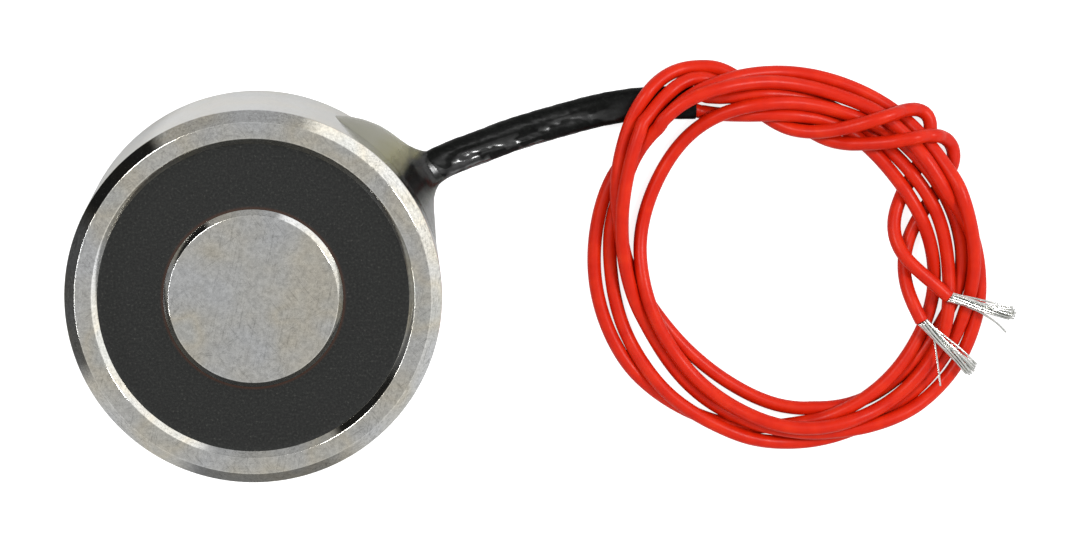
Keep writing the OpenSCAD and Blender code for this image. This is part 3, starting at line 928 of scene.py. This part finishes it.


# Epoxy with mineral filler, cast: matte and dark grey with a fine grain, and brown in a
# narrow ring next to the core
potCasting = {
    "grainSize": 0.22,                       # mm, coarser than the filler's grains, so that they show
    "tones": [(0.32, "#101110"), (0.5, "#1A1B1A"), (0.62, "#242523"), (0.76, "#484743")],
    "brown": "#3A2114",
    "brownRadii": (8.4, 8.15),               # mm from the axis: none at the first, most at the second
    "brownShare": 0.75,
}


def castEpoxy():
    material, tree, shader, place = startMaterial("filled_epoxy_cast", {
        "Roughness": 0.6, "IOR": 1.52, "Specular IOR Level": 0.2})
    grain = addNode(tree, "ShaderNodeTexNoise", {
        "Scale": patternScale(potCasting["grainSize"]), "Detail": 4, "Roughness": 0.7}, {"Vector": place})
    tone = addNode(tree, "ShaderNodeValToRGB", None, {"Fac": grain}, potCasting["tones"])
    flat = addNode(tree, "ShaderNodeVectorMath", {"operation": "MULTIPLY", 1: (1, 1, 0)}, {0: place})
    radius = addNode(tree, "ShaderNodeVectorMath", {"operation": "LENGTH"}, {0: flat}).outputs["Value"]
    outer, inner = potCasting["brownRadii"]
    atCore = addNode(tree, "ShaderNodeMapRange", {
        "From Min": outer * mm, "From Max": inner * mm, "To Max": potCasting["brownShare"]},
        {"Value": radius})
    mixed = addNode(tree, "ShaderNodeMix", {"data_type": "RGBA"}, {"Factor": atCore})
    mixed.inputs["B"].default_value = hexColour(potCasting["brown"])
    feed(mixed, {"A": tone})
    bump = addNode(tree, "ShaderNodeBump", {"Strength": 0.5, "Distance": 0.03 * mm}, {"Height": grain})
    feed(shader, {"Base Color": mixed.outputs["Result"], "Normal": bump})
    return material


# Flexible PVC insulation, extruded: satin, slightly translucent at its rim, with fine pores
insulation = {
    "cloudSize": 1.8,                        # mm
    "tones": [(0.3, "#BE1B06"), (0.55, "#C72208"), (0.75, "#CE2B0D")],
    "poreSize": 0.16,                        # mm, coarser than the real pores, so that they show
    "roughness": (0.28, 0.42),
}


def redPvc():
    material, tree, shader, place = startMaterial("pvc_extruded_red", {
        "IOR": 1.53, "Specular IOR Level": 0.16, "Subsurface Weight": 0.05,
        "Subsurface Radius": (0.0009, 0.0002, 0.0001), "Subsurface Scale": 0.6})
    clouds = addNode(tree, "ShaderNodeTexNoise", {
        "Scale": patternScale(insulation["cloudSize"]), "Detail": 3, "Roughness": 0.55}, {"Vector": place})
    tone = addNode(tree, "ShaderNodeValToRGB", None, {"Fac": clouds}, insulation["tones"])
    pores = addNode(tree, "ShaderNodeTexNoise", {
        "Scale": patternScale(insulation["poreSize"]), "Detail": 3, "Roughness": 0.6}, {"Vector": place})
    smooth, rough = insulation["roughness"]
    satin = addNode(tree, "ShaderNodeMapRange", {
        "From Min": 0.3, "From Max": 0.7, "To Min": smooth, "To Max": rough}, {"Value": pores})
    bump = addNode(tree, "ShaderNodeBump", {"Strength": 0.22, "Distance": 0.02 * mm}, {"Height": pores})
    feed(shader, {"Base Color": tone, "Roughness": satin, "Normal": bump})
    return material


# Polyolefin sleeve, shrunk with heat: black and satin with soft creases, and glossy in patches
# low on its side by the glue
shrunkSleeve = {
    "tones": [(0.35, "#070707"), (0.55, "#0C0D0C"), (0.75, "#1A1B1A")],
    "grainSize": 0.3,                        # mm, coarser than the real grain, so that it shows
    "satin": {"roughness": 0.34, "level": 0.07},
    "glossy": {"roughness": 0.1, "level": 1.0},
    "glossyAlong": (36, 27),                 # mm along X: none at the first, full at the second
    "glossyAcross": (6.2, 5.6),              # mm across the sleeve, the same
    "across": (-0.275, 0.961, 0),
    "patchSize": 2.4,                        # mm
    "creaseSize": 1.7,                       # mm
}


def shrinkBlack():
    material, tree, shader, place = startMaterial("polyolefin_heat_shrunk_black", {"IOR": 1.5})
    grain = addNode(tree, "ShaderNodeTexNoise", {
        "Scale": patternScale(shrunkSleeve["grainSize"]), "Detail": 4, "Roughness": 0.65}, {"Vector": place})
    tone = addNode(tree, "ShaderNodeValToRGB", None, {"Fac": grain}, shrunkSleeve["tones"])
    along = addNode(tree, "ShaderNodeSeparateXYZ", None, {0: place}).outputs["X"]
    across = addNode(tree, "ShaderNodeVectorMath", {
        "operation": "DOT_PRODUCT", 1: shrunkSleeve["across"]}, {0: place}).outputs["Value"]
    share = None
    for measure, key in ((across, "glossyAcross"), (along, "glossyAlong")):
        none, full = shrunkSleeve[key]
        inside = addNode(tree, "ShaderNodeMapRange", {"From Min": none * mm, "From Max": full * mm},
                         {"Value": measure})
        if share is not None:
            inside = addNode(tree, "ShaderNodeMath", {"operation": "MULTIPLY"}, {0: share, 1: inside})
        share = inside
    longer = addNode(tree, "ShaderNodeVectorMath", {"operation": "MULTIPLY", 1: (0.6, 1, 1)}, {0: place})
    patches = addNode(tree, "ShaderNodeTexNoise", {
        "Scale": patternScale(shrunkSleeve["patchSize"]), "Detail": 2, "Roughness": 0.5}, {"Vector": longer})
    wet = addNode(tree, "ShaderNodeMapRange", {"From Min": 0.42, "From Max": 0.48}, {"Value": patches})
    share = addNode(tree, "ShaderNodeMath", {"operation": "MULTIPLY"}, {0: share, 1: wet})
    satin, glossy = shrunkSleeve["satin"], shrunkSleeve["glossy"]
    rough, sheen = [addNode(tree, "ShaderNodeMix", {"A": satin[key], "B": glossy[key]}, {"Factor": share})
                    for key in ("roughness", "level")]
    drawn = addNode(tree, "ShaderNodeVectorMath", {"operation": "MULTIPLY", 1: (0.5, 1, 1)}, {0: place})
    creases = addNode(tree, "ShaderNodeTexNoise", {
        "Scale": patternScale(shrunkSleeve["creaseSize"]), "Detail": 2, "Roughness": 0.45}, {"Vector": drawn})
    bump = addNode(tree, "ShaderNodeBump", {"Strength": 0.7, "Distance": 0.35 * mm}, {"Height": creases})
    feed(shader, {"Base Color": tone, "Roughness": rough, "Specular IOR Level": sheen, "Normal": bump})
    return material


# Tinned copper strand, drawn: bright, with a faint cloud of grey and a fine grain, which is
# coarser here than on the real strand, so that it shows
def tinnedCopper():
    material, tree, shader, place = startMaterial("tinned_copper_drawn", {"Metallic": 1.0, "Roughness": 0.17})
    clouds = addNode(tree, "ShaderNodeTexNoise", {
        "Scale": patternScale(0.5), "Detail": 3, "Roughness": 0.6}, {"Vector": place})
    tone = addNode(tree, "ShaderNodeValToRGB", None, {"Fac": clouds},
                   [(0.3, "#B9BAB4"), (0.5, "#DCDDDA"), (0.7, "#CFCFC6")])
    grain = addNode(tree, "ShaderNodeTexNoise", {
        "Scale": patternScale(0.1), "Detail": 2, "Roughness": 0.5}, {"Vector": place})
    bump = addNode(tree, "ShaderNodeBump", {"Strength": 0.3, "Distance": 0.01 * mm}, {"Height": grain})
    feed(shader, {"Base Color": tone, "Normal": bump})
    return material


# Clear epoxy glue, set in place: olive where it is thick, grey and clear at its thin side, and
# dark between them, where the sleeve shows through. Stops run from the thin side to the thick one
clearGlue = {
    "towardsThick": (-0.545, 0.839, 0),      # along the wall, across the exit
    "range": (-2, 6.2),                      # mm that way
    "cloudSize": 1.0,                        # mm
    "cloudShift": 1.6,                       # mm
    "tones": [(0.0, "#9FA2A0"), (0.1, "#83867F"), (0.17, "#3A3C36"), (0.24, "#1C1D1A"), (0.32, "#2A2B26"),
              (0.42, "#888B78"), (0.56, "#8E8A64"), (0.75, "#A09D7C"), (1.0, "#A5A494")],
    "clear": [(0.0, 0.6), (0.1, 0.8), (0.2, 0.7), (0.32, 1.0), (0.5, 1.0), (0.6, 0.7), (0.75, 0.5),
              (1.0, 0.45)],
}


def clearEpoxy():
    material, tree, shader, place = startMaterial("clear_epoxy_set", {
        "Roughness": 0.22, "IOR": 1.45, "Specular IOR Level": 0.25})
    lean = addNode(tree, "ShaderNodeVectorMath", {
        "operation": "DOT_PRODUCT", 1: clearGlue["towardsThick"]}, {0: place}).outputs["Value"]
    clouds = addNode(tree, "ShaderNodeTexNoise", {
        "Scale": patternScale(clearGlue["cloudSize"]), "Detail": 3, "Roughness": 0.6}, {"Vector": place})
    shifted = addNode(tree, "ShaderNodeMath", {
        "operation": "MULTIPLY_ADD", 1: clearGlue["cloudShift"] * mm}, {0: clouds, 2: lean})
    thin, thick = clearGlue["range"]
    share = addNode(tree, "ShaderNodeMapRange", {
        "From Min": thin * mm, "From Max": thick * mm}, {"Value": shifted})
    tone = addNode(tree, "ShaderNodeValToRGB", None, {"Fac": share}, clearGlue["tones"])
    clear = addNode(tree, "ShaderNodeValToRGB", None, {"Fac": share}, clearGlue["clear"])
    lumps = addNode(tree, "ShaderNodeTexNoise", {
        "Scale": patternScale(0.9), "Detail": 2, "Roughness": 0.5}, {"Vector": place})
    bump = addNode(tree, "ShaderNodeBump", {"Strength": 0.2, "Distance": 0.06 * mm}, {"Height": lumps})
    feed(shader, {"Base Color": tone, "Transmission Weight": clear, "Normal": bump})
    return material


# Enamelled copper wire, wound: warm and glossy, with a ridge for each turn of 0.3 mm and painted shade
# that darkens the grooves between the turns (at scale 1 the wave texture repeats every 0.314 m)
def enamelledCopper():
    material, tree, shader, place = startMaterial("copper_enamelled_wound", {
        "Metallic": 1.0, "Roughness": 0.3, "Coat Weight": 0.5, "Coat Roughness": 0.1})
    turns = addNode(tree, "ShaderNodeTexWave", {"bands_direction": "Z", "Scale": 0.314 * patternScale(0.3)},
                    {"Vector": place}).outputs["Fac"]
    # painted shade: the colour follows the bump's waves, darkest in the grooves between the turns
    tone = addNode(tree, "ShaderNodeValToRGB", None, {"Fac": turns}, [(0.1, "#8A3F1C"), (0.8, "#C26A34")])
    bump = addNode(tree, "ShaderNodeBump", {"Strength": 0.8, "Distance": 0.1 * mm}, {"Height": turns})
    feed(shader, {"Base Color": tone, "Normal": bump})
    return material


# A plain finish whose colour and relief come from one grain: its size is in mm, and relief is
# the bump's strength and its height in mm
def grainedFinish(name, settings, size, detail, roughness, tones, relief):
    material, tree, shader, place = startMaterial(name, settings)
    grain = addNode(tree, "ShaderNodeTexNoise", {
        "Scale": patternScale(size), "Detail": detail, "Roughness": roughness}, {"Vector": place})
    tone = addNode(tree, "ShaderNodeValToRGB", None, {"Fac": grain}, tones)
    strength, height = relief
    bump = addNode(tree, "ShaderNodeBump", {"Strength": strength, "Distance": height * mm}, {"Height": grain})
    feed(shader, {"Base Color": tone, "Normal": bump})
    return material


finishes = {
    "steel": platedSteel(), "epoxy": castEpoxy(), "red": redPvc(), "black": shrinkBlack(),
    "tin": tinnedCopper(), "glue": clearEpoxy(), "copper": enamelledCopper(),
    # Nylon 66, moulded: ivory and satin, with the faint cloud of a moulding
    "nylon": grainedFinish("nylon_66_moulded", {"Roughness": 0.48, "IOR": 1.53}, 0.4, 3, 0.5,
                           [(0.3, "#DCD7C8"), (0.7, "#E6E1D4")], (0.2, 0.02)),
    # Polyester tape, calendered: yellow and smooth, a little uneven where it is stretched
    "tape": grainedFinish("polyester_tape_calendered", {"Roughness": 0.28, "IOR": 1.57}, 1.5, 2, 0.5,
                          [(0.3, "#D2B23A"), (0.7, "#DDC04C")], (0.2, 0.03)),
    # Tin-copper solder, flowed: bright and a little frosted
    "solder": grainedFinish("solder_flowed", {"Metallic": 1.0, "Roughness": 0.22}, 0.2, 3, 0.6,
                            [(0.3, "#C8C8C4"), (0.7, "#DDDDDA")], (0.2, 0.02)),
}


def finish(piece, key):
    piece.data.materials.clear()
    piece.data.materials.append(finishes[key])


def finishNode(node, key):
    piece = bpy.data.objects[node]
    if not piece.material_slots:
        piece.data.materials.append(finishes[key])
    for place in piece.material_slots:
        place.material = finishes[key]


nodeFinishes = {
    "bobbin": "nylon", "winding": "copper", "winding_tape": "tape",
    "inner_lead_a": "red", "inner_lead_b": "red", "solder_joint_a": "solder", "solder_joint_b": "solder",
    "joint_sleeve_a": "black", "joint_sleeve_b": "black", "coil_end_a": "copper", "coil_end_b": "copper",
}
for node, key in nodeFinishes.items():
    finishNode(node, key)
print("materials made")


# Who stands for which CAD node, and what each piece rides on
pieceTable = [
    (leadA, "red", "red_pvc", ("lead_coil", "lead_tail_a")),
    (leadB, "red", "red_pvc", ("lead_coil", "lead_tail_b")),
    (sleeveSkin, "black", "black_shrink", ("lead_sleeve",)),
    (glueSkin, "glue", "clear_epoxy", ("glue_bead",)),
    (strandsA, "tin", "tinned_copper", ("stripped_end_a",)),
    (strandsB, "tin", "tinned_copper", ("stripped_end_b",)),
    (pottingSkin, "epoxy", "potting_resin", ("potting",)),
    (housingSkin, "steel", "plated_steel", ("housing",)),
    (coreSkin, "steel", "plated_steel_core", ("core",)),
]
for piece, key, slotName, nodes in pieceTable:
    finish(piece, key)
    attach(piece, "root")
    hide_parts(*nodes)

# Stage: a white table and soft light from all round. The table is lifted to white for the
# camera alone, and so it keeps the shadow and throws no more light than grey paper
stage = {
    "tableLow": (-0.11, -0.075),             # m: the table ends near the cup's left and front
    "tableHigh": (0.17, 0.2),
    "tableDrop": 0.00002,                    # m below the object, so that no faces fight
    "tableColour": "#C6C6C6",
    "floorLift": 0.82,
    "tentLevel": 1.55,
    "lampsAimAt": (0.02, 0, 0),
}


def makeTable():
    bm = bmesh.new()
    (x0, y0), (x1, y1) = stage["tableLow"], stage["tableHigh"]
    corners = ((x0, y0), (x1, y0), (x1, y1), (x0, y1))
    bm.faces.new([bm.verts.new((x, y, -stage["tableDrop"])) for x, y in corners])
    table = pieceFrom("table", bm)
    material = bpy.data.materials.new("paper_white_matte")
    material.use_nodes = True
    tree = material.node_tree
    tree.nodes.clear()
    paper = addNode(tree, "ShaderNodeBsdfDiffuse", {"Color": hexColour(stage["tableColour"])})
    rays = addNode(tree, "ShaderNodeLightPath").outputs
    seen = addNode(tree, "ShaderNodeMath", {"operation": "MULTIPLY", 1: stage["floorLift"]},
                   {0: rays["Is Camera Ray"]})
    lift = addNode(tree, "ShaderNodeEmission", {"Color": (1, 1, 1, 1)}, {"Strength": seen})
    both = addNode(tree, "ShaderNodeAddShader", None, {0: paper, 1: lift})
    addNode(tree, "ShaderNodeOutputMaterial", None, {"Surface": both})
    table.data.materials.append(material)


makeTable()


# Light from all round, as in a small tent: brightest halfway up, dimmer straight above,
# and uneven along the horizon, which polished edges show
tent = {
    # [degrees round from X, level]
    "horizon": [(0, 1.65), (20, 1.75), (66, 1.7), (74, 0.62), (124, 0.55), (129, 0.02), (158, 0.02),
                (170, 0.16), (208, 0.24), (217, 1.4), (246, 1.3), (254, 0.45), (288, 0.5), (300, 1.4),
                (330, 1.65), (360, 1.65)],
    "horizonShare": 0.5,                     # a ramp holds levels up to 1
    "underOver": (0.72, 1.2),                # the horizon's level just below and just above it
    "horizonEdge": 0.04,
    # [sine of the height, level]
    "above": [(0.2, 0.12), (0.45, 0.22), (0.62, 0.46), (0.86, 0.62), (0.94, 0.46), (1.0, 0.4)],
    "aboveFrom": (0.26, 0.5),                # sines of the heights between which the two blend
}


def makeWorld():
    world = bpy.data.worlds.new("studio")
    bpy.context.scene.world = world
    world.use_nodes = True
    tree = world.node_tree
    tree.nodes.clear()
    toward = addNode(tree, "ShaderNodeTexCoord").outputs["Generated"]
    parts = addNode(tree, "ShaderNodeSeparateXYZ", None, {0: toward}).outputs
    upper = addNode(tree, "ShaderNodeValToRGB", None, {"Fac": parts["Z"]}, tent["above"])
    angle = addNode(tree, "ShaderNodeMath", {"operation": "ARCTAN2"}, {0: parts["Y"], 1: parts["X"]})
    turn = addNode(tree, "ShaderNodeMath", {
        "operation": "MULTIPLY_ADD", 1: 0.5 / math.pi, 2: 1.0}, {0: angle})
    wrapped = addNode(tree, "ShaderNodeMath", {"operation": "FRACT"}, {0: turn})
    around = addNode(tree, "ShaderNodeValToRGB", None, {"Fac": wrapped},
                     [(degrees / 360, level * tent["horizonShare"]) for degrees, level in tent["horizon"]])
    below, over = tent["underOver"]
    edge = tent["horizonEdge"]
    under = addNode(tree, "ShaderNodeMapRange", {
        "From Min": -edge, "From Max": edge, "To Min": below, "To Max": over}, {"Value": parts["Z"]})
    lower = addNode(tree, "ShaderNodeVectorMath", {"operation": "MULTIPLY"}, {0: around, 1: under})
    start, end = tent["aboveFrom"]
    high = addNode(tree, "ShaderNodeMapRange", {
        "From Min": start, "From Max": end, "interpolation_type": "SMOOTHSTEP"}, {"Value": parts["Z"]})
    level = addNode(tree, "ShaderNodeMix", {"data_type": "RGBA"})
    feed(level, {"Factor": high, "A": lower, "B": upper})
    glow = addNode(tree, "ShaderNodeBackground", {"Strength": stage["tentLevel"]},
                   {"Color": level.outputs["Result"]})
    white = addNode(tree, "ShaderNodeBackground", {"Strength": 1.0, "Color": (1, 1, 1, 1)})
    rays = addNode(tree, "ShaderNodeLightPath").outputs
    both = addNode(tree, "ShaderNodeMixShader", None, {0: rays["Is Camera Ray"], 1: glow, 2: white})
    addNode(tree, "ShaderNodeOutputWorld", None, {"Surface": both})


makeWorld()


def addLamp(name, azimuth, elevation, distance, size, power):
    light = bpy.data.lights.new(name, "AREA")
    light.shape = "RECTANGLE"
    light.size, light.size_y = size
    light.energy = power
    lamp = bpy.data.objects.new(name, light)
    bpy.context.scene.collection.objects.link(lamp)
    flat = math.cos(math.radians(elevation))
    toward = Vector((flat * math.cos(math.radians(azimuth)), flat * math.sin(math.radians(azimuth)),
                     math.sin(math.radians(elevation))))
    lamp.location = Vector(stage["lampsAimAt"]) + toward * distance
    lamp.rotation_euler = (-toward).to_track_quat("-Z", "Y").to_euler()


# [name, degrees round, degrees up, metres away, size m, watts]
for lamp in (("softbox_right", 22, 50, 0.7, (0.1, 0.16), 2.3),
             ("softbox_left", 140, 58, 0.7, (0.16, 0.12), 1.6),
             ("strip_left", 180, 15, 0.6, (0.42, 0.05), 1.2)):
    addLamp(*lamp)

bpy.context.scene.view_settings.view_transform = "Standard"
print("stage lit")
